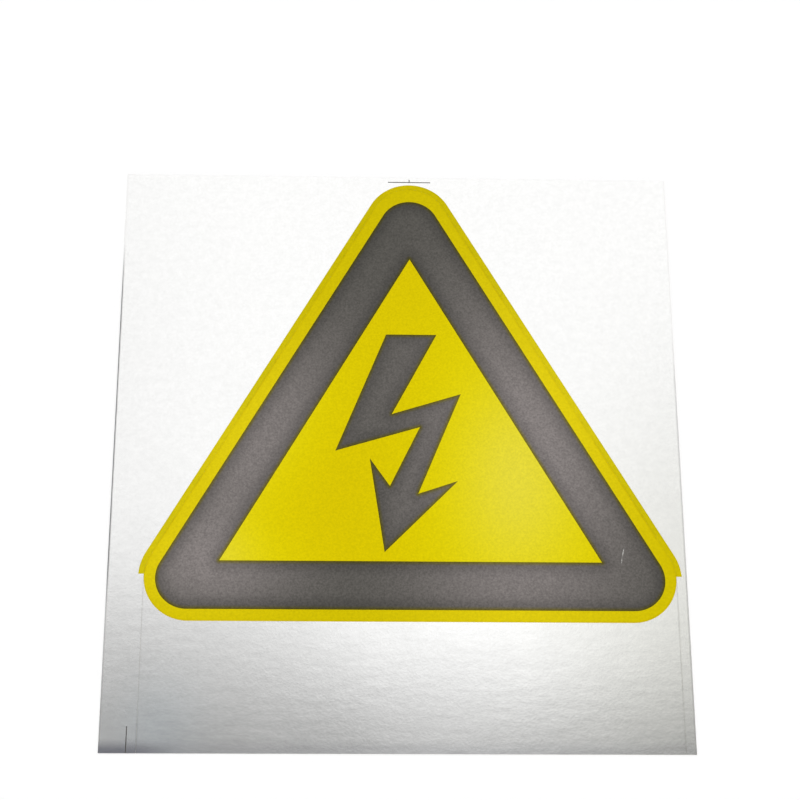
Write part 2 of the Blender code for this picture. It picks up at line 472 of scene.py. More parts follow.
@dataclass(frozen=True)
class FilmFinish:
    """Matt silver metallised film with a rolled face and dulled trimmed edges, with shade painted along its
    edges and its cut lines.
    """

    name: str
    tint: Colour = display(255, 255, 254)
    shade: Colour = display(249, 249, 248)
    shade_span: Span = (0.35, 0.65)
    casts: tuple[tuple[SoftPatch, Colour], ...] = (
        (SoftPatch(-74.0 * MM, -92.0 * MM, 13.0 * MM, 16.0 * MM), (0.93, 0.97, 1.0, 1.0)),
        (SoftPatch(90.0 * MM, -60.0 * MM, 40.0 * MM, 65.0 * MM), (1.0, 1.0, 0.955, 1.0)),
    )
    edge_painted_shade: Colour = display(110, 111, 114)
    foot_painted_shade: Colour = display(176, 177, 186)
    cut_shade: float = 0.20
    roughness: float = 0.15
    cloud_size: float = 25.0 * MM
    cloud_swing: float = 0.01
    edge_dulling: float = 0.2
    pebble_size: float = 0.8 * MM
    pebble_depth: float = 0.009 * MM
    ripple_size: float = 3.2 * MM
    ripple_depth: float = 0.008 * MM
    ripple_stretch: Triple = (0.35, 1.0, 1.0)
    side_reach: float = 0.70 * MM
    foot_reach: float = 5.0 * MM

    def build(self, effects: Effects) -> Material:
        """Build the finish.

        Args:
            effects: The shared node groups.

        Returns:
            A metallic material: tint and shade by the pebble's tone, with faint casts of colour, painted
                shade
            in the pressed groove along the cut lines, painted edge shade along the trimmed sides and painted
            shade along the foot. The pebble is over faint ripples that are drawn out across the sheet.
        """
        material, graph, shader = new_material(self.name)
        pebble = graph.effect(effects.pebble, {"Size": self.pebble_size, "Depth": self.pebble_depth})
        reaches = {"Side Reach": self.side_reach, "Foot Reach": self.foot_reach}
        edge = graph.effect(effects.sheet_edge, reaches)
        mottle = graph.ranged(pebble["Tone"], self.shade_span, ramp=Ramp.STRAIGHT)
        face = graph.blend(mottle, self.shade, self.tint)
        where = graph.position()
        for patch, cast in self.casts:
            face = graph.blend(graph.patch(where, patch), face, graph.tinted(face, cast))
        # Painted shade in the pressed groove along the cut lines.
        cut = graph.effect(effects.cut_line)["Mask"]
        groove_shaded = graph.scaled(face, graph.maths(Maths.MULTIPLY_ADD, cut, -self.cut_shade, 1.0))
        # Painted shade along the foot and along the trimmed sides.
        footed = graph.blend(edge["Foot"], groove_shaded, self.foot_painted_shade)
        graph.feed(shader["Base Color"], graph.blend(edge["Side"], footed, self.edge_painted_shade))
        cloud = graph.noise(self.cloud_size, offset=6.6)
        rough = graph.ranged(cloud, NOISE_SPAN, self.roughness - self.cloud_swing,
                             self.roughness + self.cloud_swing)
        dulled = graph.maths(Maths.MULTIPLY_ADD, edge["Side"], self.edge_dulling, rough)
        graph.feed(shader["Roughness"], dulled)
        ripple = graph.noise(self.ripple_size, detail=1.0, offset=1.9, stretch=self.ripple_stretch)
        graph.feed(shader["Normal"], graph.bumped(ripple, self.ripple_depth, Normal=pebble["Normal"]))
        shader["Metallic"].default_value = 1.0
        return material


@dataclass(frozen=True)
class InkFinish:
    """Satin ink that lets the film's pebble through, with a broad sheen of light painted into its colour."""

    name: str
    roughness: float = 0.42
    rough_swing: float = 0.04
    specular: float = 0.1
    specular_tint: Colour = WHITE
    pebble_size: float = 0.60 * MM
    pebble_depth: float = 0.008 * MM
    mottle: float = 0.22

    def build(self, effects: Effects) -> Material:
        """Build the finish.

        Args:
            effects: The shared node groups.

        Returns:
            A satin material in the ink's colour with its painted sheen and shade, with the pebble in its
            gloss and its normals.
        """
        material, graph, shader = new_material(self.name)
        pebble = graph.effect(effects.pebble, {"Size": self.pebble_size, "Depth": self.pebble_depth})
        # The painted sheen: broad patches of reflected light painted into the colour.
        sheen = graph.effect(effects.sheen)["Tone"]
        mottle = graph.around(pebble["Grain"], 1.0, self.mottle)
        graph.feed(shader["Base Color"], self.colour(graph, effects, sheen, mottle))
        graph.feed(shader["Roughness"], graph.around(pebble["Tone"], self.roughness, self.rough_swing))
        graph.feed(shader["Normal"], pebble["Normal"])
        shader["Specular IOR Level"].default_value = self.specular
        shader["Specular Tint"].default_value = self.specular_tint
        return material

    def colour(self, graph: Graph, effects: Effects, sheen: Socket, mottle: Socket) -> Socket:
        """Return the ink's colour with its painted sheen and shade, which each ink works out."""
        raise NotImplementedError


@dataclass(frozen=True)
class YellowFinish(InkFinish):
    """Yellow ink, duller in the border than in the field, painted lighter under a sheen of light, and darker
    along its edges as painted shade of the cut groove.
    """

    roughness: float = 0.46
    specular: float = 0.25
    specular_tint: Colour = display(255, 238, 40)
    pebble_size: float = 0.7 * MM
    mottle: float = 0.07
    # The lit colours are painted sheen, and the washed one is painted glare where the sheen is strongest.
    field_plain: Colour = display(223, 201, 3)
    field_lit: Colour = display(238, 225, 4)
    field_glare: Colour = display(238, 225, 62)
    border_plain: Colour = display(214, 195, 3)
    border_lit: Colour = display(240, 219, 24)
    border_span: Span = (6.0 * MM, 7.0 * MM)
    glare_power: float = 4.0
    rim_tint: Colour = (0.88, 0.83, 0.72, 1.0)
    rim_width: float = 0.7 * MM
    rim_waver: float = 0.08 * MM
    patchy_size: float = 9.0 * MM
    patchy_span: Span = (0.35, 0.6)
    patchy_low: float = 0.45
    apex_span: Span = (78.0 * MM, 87.0 * MM)
    apex_rim: float = 0.35

    def colour(self, graph: Graph, effects: Effects, sheen: Socket, mottle: Socket) -> Socket:
        """Return the ink's colour.

        Args:
            graph: The material's graph.
            effects: The shared node groups.
            sheen: The tone of the painted sheen.
            mottle: The pebble's factor on the colour.

        Returns:
            Plain to lit by the painted sheen, and on to washed, a painted glare, where that sheen is
            strongest, border to field by the distance from the edge, mottled, and tinted darker at the rim as
            painted shade of the cut groove: patchily, and less round the apex.
        """
        inside = graph.ranged(graph.from_edge(), self.border_span)
        plain = graph.blend(inside, self.border_plain, self.field_plain)
        glare = graph.maths(Maths.POWER, sheen, self.glare_power)
        lit = graph.blend(inside, self.border_lit, graph.blend(glare, self.field_lit, self.field_glare))
        mottled = graph.scaled(graph.blend(sheen, plain, lit), mottle)
        # The rim's tint is painted shade of the cut groove, patchy and fainter round the apex.
        rim = graph.effect(effects.rim, {"Width": self.rim_width, "Waver": self.rim_waver})["Mask"]
        fading = graph.ranged(graph.place()[1], self.apex_span, 1.0, self.apex_rim)
        patchy = graph.ranged(graph.noise(self.patchy_size, offset=3.3), self.patchy_span, self.patchy_low)
        mask = graph.product(rim, graph.product(patchy, fading))
        return graph.blend(mask, mottled, graph.tinted(mottled, self.rim_tint))


@dataclass(frozen=True)
class BlackFinish(InkFinish):
    """Black ink, painted grey where a sheen of light falls on it, painted darker near its edges as shade, and
    olive along its edges.
    """

    # plain and lit are the ink without and with the painted sheen; shade is painted shade near the edges.
    plain: Colour = display(85, 83, 78)
    lit: Colour = display(143, 136, 134)
    rim_tint: Colour = (1.05, 0.97, 0.08, 1.0)
    rim_width: float = 1.5 * MM
    shade: float = 0.33
    shade_width: float = 6.0 * MM
    shade_waver: float = 0.6 * MM
    scratches: tuple[SoftPatch, ...] = ()
    bare: Colour = display(232, 231, 226)
    bare_grain: float = 0.6 * MM
    bare_span: Span = (0.3, 0.5)

    def colour(self, graph: Graph, effects: Effects, sheen: Socket, mottle: Socket) -> Socket:
        """Return the ink's colour.

        Args:
            graph: The material's graph.
            effects: The shared node groups.
            sheen: The tone of the painted sheen.
            mottle: The pebble's factor on the colour.

        Returns:
            Plain to lit by the painted sheen, darker within shade_width of its edges as painted shade,
            mottled, tinted olive at the rim, and bare silver where it is scratched.
        """
        # Painted shade within shade_width of the ink's edges.
        shade = graph.effect(effects.rim, {"Width": self.shade_width, "Waver": self.shade_waver})["Mask"]
        depth = graph.maths(Maths.MULTIPLY_ADD, shade, -self.shade, 1.0)
        mottled = graph.scaled(graph.blend(sheen, self.plain, self.lit), graph.product(mottle, depth))
        rim = graph.effect(effects.rim, {"Width": self.rim_width})["Mask"]
        colour = graph.blend(rim, mottled, graph.tinted(mottled, self.rim_tint))
        broken = graph.ranged(graph.noise(self.bare_grain, offset=2.2), self.bare_span)
        where = graph.position()
        for scratch in self.scratches:
            colour = graph.blend(graph.product(graph.patch(where, scratch), broken), colour, self.bare)
        return colour


@dataclass(frozen=True)
class MarkFinish:
    """Thin matt black ink of the trim marks, a little broken over the film's pebble."""

    name: str
    dark: Colour = display(62, 60, 56)
    worn: Colour = display(112, 110, 104)
    worn_span: Span = (0.45, 0.7)
    roughness: float = 0.5
    pebble_size: float = 0.3 * MM
    pebble_depth: float = 0.005 * MM

    def build(self, effects: Effects) -> Material:
        """Build the finish.

        Args:
            effects: The shared node groups.

        Returns:
            A matt material that goes from dark to worn over the pebble's tops.
        """
        material, graph, shader = new_material(self.name)
        pebble = graph.effect(effects.pebble, {"Size": self.pebble_size, "Depth": self.pebble_depth})
        worn = graph.ranged(pebble["Tone"], self.worn_span)
        graph.feed(shader["Base Color"], graph.blend(worn, self.dark, self.worn))
        graph.feed(shader["Normal"], pebble["Normal"])
        shader["Roughness"].default_value = self.roughness
        return material


@dataclass(frozen=True)
class PaperFinish:
    """Siliconed backing paper with a felt of fibres and a faint cloudiness."""

    name: str
    pale: Colour = display(232, 230, 220)
    shade: Colour = display(216, 213, 200)
    shade_span: Span = (0.4, 0.65)
    cloud_size: float = 9.0 * MM
    cloud_weight: float = 0.5
    roughness: float = 0.62
    rough_swing: float = 0.08
    rough_span: Span = (0.4, 0.7)
    fibre_size: float = 0.25 * MM
    fibre_depth: float = 0.008 * MM

    def build(self, effects: Effects) -> Material:
        """Build the finish.

        Args:
            effects: The shared node groups.

        Returns:
            A paper material: pale to shade by the fibres and by wide clouds.
        """
        material, graph, shader = new_material(self.name)
        fibres = graph.effect(effects.fibres, {"Size": self.fibre_size, "Depth": self.fibre_depth})
        cloud = graph.noise(self.cloud_size, detail=3.0, offset=7.9)
        felt = graph.product(fibres["Tone"], 1.0 - self.cloud_weight)
        mixed = graph.maths(Maths.MULTIPLY_ADD, cloud, self.cloud_weight, felt)
        shaded = graph.blend(graph.ranged(mixed, self.shade_span), self.pale, self.shade)
        graph.feed(shader["Base Color"], shaded)
        rough = graph.ranged(fibres["Tone"], self.rough_span, self.roughness - self.rough_swing,
                             self.roughness + self.rough_swing, Ramp.STRAIGHT)
        graph.feed(shader["Roughness"], rough)
        graph.feed(shader["Normal"], fibres["Normal"])
        return material


def polar(angles: np.ndarray) -> np.ndarray:
    """Return unit vectors: the cosine and sine of each angle."""
    return np.stack((np.cos(angles), np.sin(angles)), axis=-1)


@dataclass(frozen=True)
class Track:
    """A path across the sheet with the outward direction at each point of it."""

    points: np.ndarray
    outward: np.ndarray

    def inset(self, distances: np.ndarray) -> np.ndarray:
        """Return one copy of the path for each distance inward: point less distance times outward."""
        return self.points[None] - distances[:, None, None] * self.outward[None]

    @staticmethod
    def arc(centre: np.ndarray, radius: float, start: float, end: float, steps: int) -> "Track":
        """Return an arc: centre plus radius times the unit vector of an angle from start to end."""
        outward = polar(np.linspace(start, end, steps + 1))
        return Track(np.asarray(centre) + radius * outward, outward)

    @staticmethod
    def joined(pieces: list["Track"]) -> "Track":
        """Return the pieces one after the other."""
        return Track(np.concatenate([piece.points for piece in pieces]),
                     np.concatenate([piece.outward for piece in pieces]))

    @staticmethod
    def line(start: np.ndarray, end: np.ndarray, step: float) -> "Track":
        """Return the inner points of a straight side, which has its outside on the right of its run.

        Args:
            start: Where the side starts.
            end: Where it ends.
            step: Largest gap between two points.

        Returns:
            The points start + share times (end - start), share from 0 to 1 without its ends.
        """
        run = np.asarray(end) - np.asarray(start)
        count = max(2, math.ceil(float(np.hypot(*run)) / step))
        shares = np.arange(1, count) / count
        side = np.array((run[1], -run[0])) / np.hypot(*run)
        return Track(np.asarray(start) + shares[:, None] * run, np.repeat(side[None], count - 1, axis=0))


@dataclass(frozen=True)
class SignPlan:
    """The sheet's layout, in metres: the sizes that the frame was built from.

    The ink is dragged over the film's cut, so that its own gap is narrower than the cut. The flash's
    corners are in shares of its height, from its tip.
    """

    inner_side: float = 121.0 * MM
    band_width: float = 15.75 * MM
    band_corner_radius: float = 10.1 * MM
    border_width: float = 3.8 * MM
    apex_cut_radius: float = 13.1 * MM
    shoulder_cut_radius: float = 14.2 * MM
    bleed_width: float = 1.75 * MM
    bleed_end_drop: float = 4.5 * MM
    ink_gap: float = 0.01 * MM
    flash_height: float = 74.5 * MM
    flash_tip_shift: float = -8.4 * MM
    flash_tip_lift: float = 3.0 * MM
    flash_corners: tuple[tuple[float, float], ...] = (
        (0.007, 1.000), (0.230, 1.000), (0.032, 0.625), (0.334, 0.720), (0.145, 0.261), (0.317, 0.320),
        (0.000, 0.000), (-0.064, 0.420), (0.023, 0.295), (0.154, 0.565), (-0.213, 0.454),
    )
    corner_steps: int = 36
    shoulder_steps: int = 12
    bleed_side_steps: int = 56
    side_step: float = 2.0 * MM

    @property
    def inner_inradius(self) -> float:
        """Distance from the triangle's centre to the yellow triangle's sides."""
        return self.inner_side / (2.0 * math.sqrt(3.0))

    @property
    def band_inradius(self) -> float:
        """Distance from the triangle's centre to the band's outer sides."""
        return self.inner_inradius + self.band_width

    @property
    def cut_inradius(self) -> float:
        """Distance from the triangle's centre to the cut line's sides."""
        return self.band_inradius + self.border_width

    @property
    def centre(self) -> np.ndarray:
        """The triangle's centre on the sheet, from the band's own box in the frame."""
        low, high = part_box("black_band")
        return np.array(((low.x + high.x) / 2.0, low.y + self.band_inradius))

    @property
    def shoulder(self) -> tuple[float, float]:
        """How far the shoulder arcs' centres lie beside and below the triangle's centre."""
        reach = self.cut_inradius - self.shoulder_cut_radius
        return 2.0 * reach * math.cos(math.radians(30.0)), reach

    def triangle(self, inradius: float, radii: Triple) -> Track:
        """Return an equilateral triangle with rounded corners, anticlockwise from the right of the apex.

        Args:
            inradius: Distance from the centre to the sides.
            radii: Radius of the apex, the left corner and the right corner.

        Returns:
            Three arcs, each round a point at twice (inradius - radius) from the centre, and the sides
            between them.
        """
        half_bend = math.pi / 3.0
        arcs = [Track.arc(self.centre + 2.0 * (inradius - radius) * polar(direction), radius,
                          direction - half_bend, direction + half_bend, self.corner_steps)
                for direction, radius in zip(np.radians((90.0, 210.0, 330.0)), radii)]
        sides = [Track.line(arc.points[-1], after.points[0], self.side_step)
                 for arc, after in zip(arcs, arcs[1:] + arcs[:1])]
        return Track.joined([piece for pair in zip(arcs, sides) for piece in pair])

    def band_inside(self, outside: Track) -> Track:
        """Return the sharp inner triangle, point for point with the band's outside.

        Args:
            outside: The band's outer edge.

        Returns:
            For each outer point, its place along the side is scaled to the inner side's length and kept
            within it, so that all points of a corner's arc fall on the sharp corner.
        """
        normals = polar(np.radians((30.0, 150.0, 270.0)))
        normal = normals[np.argmax(outside.outward @ normals.T, axis=1)]
        along = np.stack((-normal[:, 1], normal[:, 0]), axis=1)
        half_outer = math.sqrt(3.0) * (self.band_inradius - self.band_corner_radius)
        half_inner = math.sqrt(3.0) * self.inner_inradius
        share = np.clip(np.sum((outside.points - self.centre) * along, axis=1) / half_outer, -1.0, 1.0)
        points = self.centre + self.inner_inradius * normal + (share * half_inner)[:, None] * along
        return Track(points, outside.outward)

    def bleed_edge(self, outset: float) -> Track:
        """Return the cut line moved out by outset, from the right shoulder over the apex to the left.

        Args:
            outset: How far the line lies outside the cut.

        Returns:
            Two shoulder arcs that end at the bleed's square end, the apex arc and the two sides.
        """
        reach, drop = self.shoulder
        end_height = -self.inner_inradius - self.bleed_end_drop
        radius = self.shoulder_cut_radius + outset
        end = math.asin((end_height + drop) / radius)
        side = math.radians(30.0)
        rise = 2.0 * (self.cut_inradius - self.apex_cut_radius)
        right = Track.arc(self.centre + (reach, -drop), radius, end, side, self.shoulder_steps)
        apex = Track.arc(self.centre + (0.0, rise), self.apex_cut_radius + outset, side, math.pi - side,
                         self.corner_steps)
        left = Track.arc(self.centre + (-reach, -drop), radius, math.pi - side, math.pi - end,
                         self.shoulder_steps)
        first = self.bleed_side(right.points[-1], apex.points[0])
        second = self.bleed_side(apex.points[-1], left.points[0])
        return Track.joined([right, first, apex, second, left])

    def bleed_side(self, start: np.ndarray, end: np.ndarray) -> Track:
        """Return a side of the bleed, cut into its number of equal steps, without its ends."""
        return Track.line(start, end, float(np.hypot(*(end - start))) / (self.bleed_side_steps - 0.5))

    def flash(self) -> Track:
        """Return the lightning flash.

        Returns:
            Its outline, anticlockwise. The direction at a corner is the sum of the two sides' outward
            normals over one plus their product, so that an inset keeps its distance from both sides.
        """
        tip = self.centre + (self.flash_tip_shift, self.flash_tip_lift - self.inner_inradius)
        corners = (tip + self.flash_height * np.array(self.flash_corners))[::-1]
        nexts = np.roll(corners, -1, axis=0)
        runs = nexts - corners
        after = np.stack((runs[:, 1], -runs[:, 0]), axis=1) / np.linalg.norm(runs, axis=1)[:, None]
        before = np.roll(after, 1, axis=0)
        mitres = (before + after) / (1.0 + np.sum(before * after, axis=1))[:, None]
        return Track.joined([part for corner, end, mitre in zip(corners, nexts, mitres) for part in (
            Track(corner[None], mitre[None]), Track.line(corner, end, self.side_step))])


def edge_distance(points: np.ndarray, outlines: list[np.ndarray]) -> np.ndarray:
    """Return each point's distance to the nearest outline.

    Args:
        points: Places on the sheet.
        outlines: Closed outlines.

    Returns:
        The smallest distance to any of the outlines' sides. For a side from a along d, it is the length
        of p - a - h d, where h is (p - a) times d over d times d, kept between 0 and 1.
    """
    starts = np.concatenate(outlines)
    runs = np.concatenate([np.roll(outline, -1, axis=0) - outline for outline in outlines])
    squares = np.maximum(np.sum(runs * runs, axis=1), np.finfo(float).tiny)
    offset = points[:, None] - starts[None]
    share = np.clip(np.sum(offset * runs[None], axis=2) / squares[None], 0.0, 1.0)
    return np.min(np.linalg.norm(offset - share[..., None] * runs[None], axis=2), axis=1)


def grid_faces(rows: int, columns: int, close_rows: bool, close_columns: bool) -> list[list[int]]:
    """Return the four corners' numbers of each face of a grid of points, which may close on itself."""
    corners = ((0, 0), (0, 1), (1, 1), (1, 0))
    return [[(row + down) % rows * columns + (column + along) % columns for down, along in corners]
            for row in range(rows - 1 + close_rows) for column in range(columns - 1 + close_columns)]


class InkShape(Enum):
    """How an ink layer's rings are closed."""

    PATCH = "one outline, filled inside"
    RING = "two closed outlines, filled between"
    STRIP = "two open edges, filled between, with square ends"


@dataclass(frozen=True)
class InkLayer:
    """One printed layer: a rounded rim carried along its outline, and a flat top.

    Its rings lie at round_steps from the edge on the rim and at flat_steps on the flat top. A patch with
    a fill_step has loose points at that spacing inside it instead of rings.
    """

    name: str
    node: str
    slot: str
    shape: InkShape
    outer: Track
    inner: Track | None = None
    rim_radius: float = 0.02 * MM
    rim_foot: float = 0.4
    round_steps: tuple[float, ...] = (0.0, 0.003 * MM, 0.008 * MM, 0.02 * MM)
    flat_steps: tuple[float, ...] = NEAR_STEPS
    fill_step: float = 0.0
    copy_clearance: float = 0.97
    fill_tolerance: float = 0.001 * MM
    merge_distance: float = 0.0002 * MM
    shortest_edge: float = 0.0001 * MM

    @property
    def insets(self) -> np.ndarray:
        """Distances of the rings from the edge."""
        return np.array(self.round_steps + (() if self.fill_step else self.flat_steps))

    def rows(self, floor: float, top: float) -> np.ndarray:
        """Return the layer's rings of points.

        Args:
            floor: Height of the layer's underside.
            top: Height of its top.

        Returns:
            Rows of points: the bottom edge, the rim inward from it, and for a ring or strip the rim of
            the other edge back down. The rim goes up from the share rim_foot of the thickness to all of
            it by the root of 1 - (1 - d / r) squared, at distance d with radius r.
        """
        rise = np.clip(1.0 - self.insets / self.rim_radius, 0.0, 1.0)
        share = self.rim_foot + (1.0 - self.rim_foot) * np.sqrt(1.0 - rise * rise)
        heights = floor + (top - floor) * share
        rings = [self.outer.points[None], self.outer.inset(self.insets)]
        levels = [np.array((floor,)), heights]
        if self.inner is not None:
            rings += [self.inner.inset(-self.insets)[::-1], self.inner.points[None]]
            levels += [heights[::-1], np.array((floor,))]
        flat = np.concatenate(rings)
        height = np.broadcast_to(np.concatenate(levels)[:, None, None], (*flat.shape[:2], 1))
        return np.concatenate((flat, height), axis=2)

    def build(self) -> Piece:
        """Build the layer where its frame node lies and let it stand for the node.

        Returns:
            The closed layer, with each point's distance to the printed edge kept as an attribute.
        """
        low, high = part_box(self.node)
        rows = self.rows(low.z, high.z)
        count, columns = rows.shape[:2]
        patch, strip = self.shape is InkShape.PATCH, self.shape is InkShape.STRIP
        faces = grid_faces(count, columns, not patch, not strip)
        points = rows.reshape(-1, 3)
        if patch:
            inside, top = self.fill(rows[-1], (count - 1) * columns)
            points = np.concatenate((points, inside))
            faces += [list(range(columns))[::-1], *top]
        if strip:
            end = np.arange(count) * columns
            faces += [end.tolist(), (end + columns - 1)[::-1].tolist()]
        mesh = bpy.data.meshes.new(self.name)
        mesh.from_pydata(points.tolist(), [], faces)
        self.close(mesh)
        self.mark_rim(mesh)
        layer = bpy.data.objects.new(self.name, mesh)
        bpy.context.scene.collection.objects.link(layer)
        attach(layer, BODY)
        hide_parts(self.node)
        return layer

    def fill(self, ring: np.ndarray, first: int) -> tuple[np.ndarray, list[list[int]]]:
        """Fill the innermost ring, with loose points inside it where fill_step is given.

        Args:
            ring: The innermost ring's points.
            first: Number of the ring's first point in the mesh.

        Returns:
            The points inside, and the faces that fill the ring: one face, or triangles between the loose
            points and the ring.
        """
        numbers = list(range(first, first + len(ring)))
        if not self.fill_step:
            return np.empty((0, 3)), [numbers]
        loose = self.loose_points()
        places = [Vector(point) for point in np.concatenate((ring[:, :2], loose)).tolist()]
        found = delaunay_2d_cdt(places, [], [list(range(len(ring)))], 1, self.fill_tolerance)
        used = sorted({origin[0] for origin in found[3]} - set(range(len(ring))))
        number = dict(enumerate(numbers)) | {old: first + len(ring) + new for new, old in enumerate(used)}
        origins = [number[origin[0]] for origin in found[3]]
        inside = np.column_stack((loose[np.array(used) - len(ring)], np.full(len(used), ring[0, 2])))
        return inside, [[origins[corner] for corner in face] for face in found[2]]

    def loose_points(self) -> np.ndarray:
        """Return points for the flat top.

        Returns:
            A square grid, where it lies half a grid step inside the last copy of the outline, and copies
            of the outline at the flat steps, where no other side is nearer than the copy's own step.
        """
        outline = self.outer.points
        low, high = outline.min(axis=0), outline.max(axis=0)
        lines = [np.arange(low[k] + self.fill_step / 2.0, high[k], self.fill_step) for k in range(2)]
        sets = [np.stack(np.meshgrid(*lines, indexing="ij"), axis=-1).reshape(-1, 2)]
        limits = [self.flat_steps[-1] + self.fill_step / 2.0]
        sets += list(self.outer.inset(np.array(self.flat_steps)))
        limits += [step * self.copy_clearance for step in self.flat_steps]
        return np.concatenate([points[edge_distance(points, [outline]) > limit]
                               for points, limit in zip(sets, limits)])

    def close(self, mesh: bpy.types.Mesh) -> None:
        """Merge the points that meet in a sharp corner and turn all faces outward.

        Args:
            mesh: The layer's mesh.
        """
        work = bmesh.new()
        work.from_mesh(mesh)
        bmesh.ops.remove_doubles(work, verts=work.verts, dist=self.merge_distance)
        bmesh.ops.dissolve_degenerate(work, edges=work.edges, dist=self.shortest_edge)
        bmesh.ops.recalc_face_normals(work, faces=work.faces)
        work.to_mesh(mesh)
        work.free()

    def mark_rim(self, mesh: bpy.types.Mesh) -> None:
        """Keep each point's distance to the printed edge as the rim attribute.

        Args:
            mesh: The layer's mesh.
        """
        places = np.empty(len(mesh.vertices) * 3, np.float32)
        mesh.vertices.foreach_get("co", places)
        flat = places.reshape(-1, 3)[:, :2].astype(float)
        outlines = [track.points for track in (self.outer, self.inner) if track is not None]
        if self.shape is InkShape.STRIP:
            outlines = [np.concatenate((self.outer.points, self.inner.points[::-1]))]
        attribute = mesh.attributes.new(RIM_ATTRIBUTE, "FLOAT", "POINT")
        attribute.data.foreach_set("value", edge_distance(flat, outlines).astype(np.float32))


def dress(piece: Piece, material: Material) -> None:
    """Put one material on a whole piece.

    Args:
        piece: The piece, or a node of the frame.
        material: The material.
    """
    if piece.material_slots:
        for slot in piece.material_slots:
            slot.material = material
    else:
        piece.data.materials.append(material)


@dataclass
class BackingAndFilm:
    """The backing sheet and the two films on it, which keep the frame's own shapes."""

    liner: PaperFinish = PaperFinish("liner_paper_finish")
    label: FilmFinish = FilmFinish("silver_film_finish")
    margin: FilmFinish = FilmFinish("silver_margin_finish", roughness=0.155)

    def build(self, effects: Effects) -> list[Piece]:
        """Dress the three nodes.

        Args:
            effects: The shared node groups.

        Returns:
            The dressed nodes.
        """
        finishes = {"release_liner": self.liner, "label_film": self.label, "margin_film": self.margin}
        for name, finish in finishes.items():
            dress(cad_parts[name], finish.build(effects))
        return [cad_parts[name] for name in finishes]


@dataclass
class Print:
    """The yellow and black inks, and the trim marks."""

    plan: SignPlan = SignPlan()
    yellow: YellowFinish = YellowFinish("yellow_ink_finish")
    # The bleed's rim tint is painted shade along its edges as well.
    bleed: YellowFinish = YellowFinish("yellow_bleed_finish", border_plain=display(213, 193, 4),
                                       border_lit=display(238, 217, 26), rim_tint=(0.80, 0.86, 1.0, 1.0),
                                       apex_rim=0.75)
    band: BlackFinish = BlackFinish("black_ink_finish", scratches=(
        SoftPatch(71.5 * MM, -33.8 * MM, 1.2 * MM, 0.11 * MM, math.radians(76.6), 1.0),
        SoftPatch(70.9 * MM, -36.7 * MM, 0.7 * MM, 0.10 * MM, math.radians(80.9), 0.85)))
    flash: BlackFinish = BlackFinish("flash_ink_finish", plain=display(86, 84, 79), shade=0.27)
    flash_fill: float = 1.2 * MM
    marks: MarkFinish = MarkFinish("mark_ink_finish")

    def layers(self) -> list[tuple[InkLayer, InkFinish]]:
        """Plan the ink layers.

        Returns:
            Each layer with its finish.
        """
        plan = self.plan
        shoulder = plan.shoulder_cut_radius
        field_edge = plan.triangle(plan.cut_inradius, (plan.apex_cut_radius, shoulder, shoulder))
        band_edge = plan.triangle(plan.band_inradius, (plan.band_corner_radius,) * 3)
        all_steps = NEAR_STEPS + FAR_STEPS
        return [
            (InkLayer("yellow_field_print", "yellow_field", "yellow_ink", InkShape.PATCH, field_edge,
                      flat_steps=all_steps), self.yellow),
            (InkLayer("yellow_bleed_print", "yellow_bleed", "yellow_bleed_ink", InkShape.STRIP,
                      plan.bleed_edge(plan.bleed_width), plan.bleed_edge(plan.ink_gap),
                      flat_steps=NEAR_STEPS[:2]), self.bleed),
            (InkLayer("black_band_print", "black_band", "black_ink", InkShape.RING, band_edge,
                      plan.band_inside(band_edge), flat_steps=all_steps), self.band),
            (InkLayer("lightning_flash_print", "lightning_flash", "flash_ink", InkShape.PATCH, plan.flash(),
                      fill_step=self.flash_fill), self.flash),
        ]

    def build(self, effects: Effects) -> list[Piece]:
        """Build the ink layers and dress the trim marks.

        Args:
            effects: The shared node groups.

        Returns:
            The ink layers and the marks.
        """
        pieces = []
        for layer, finish in self.layers():
            pieces.append(layer.build())
            dress(pieces[-1], finish.build(effects))
        mark_material = self.marks.build(effects)
        for name in ("top_centre_mark", "foot_mark"):
            pieces.append(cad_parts[name])
            dress(pieces[-1], mark_material)
        return pieces


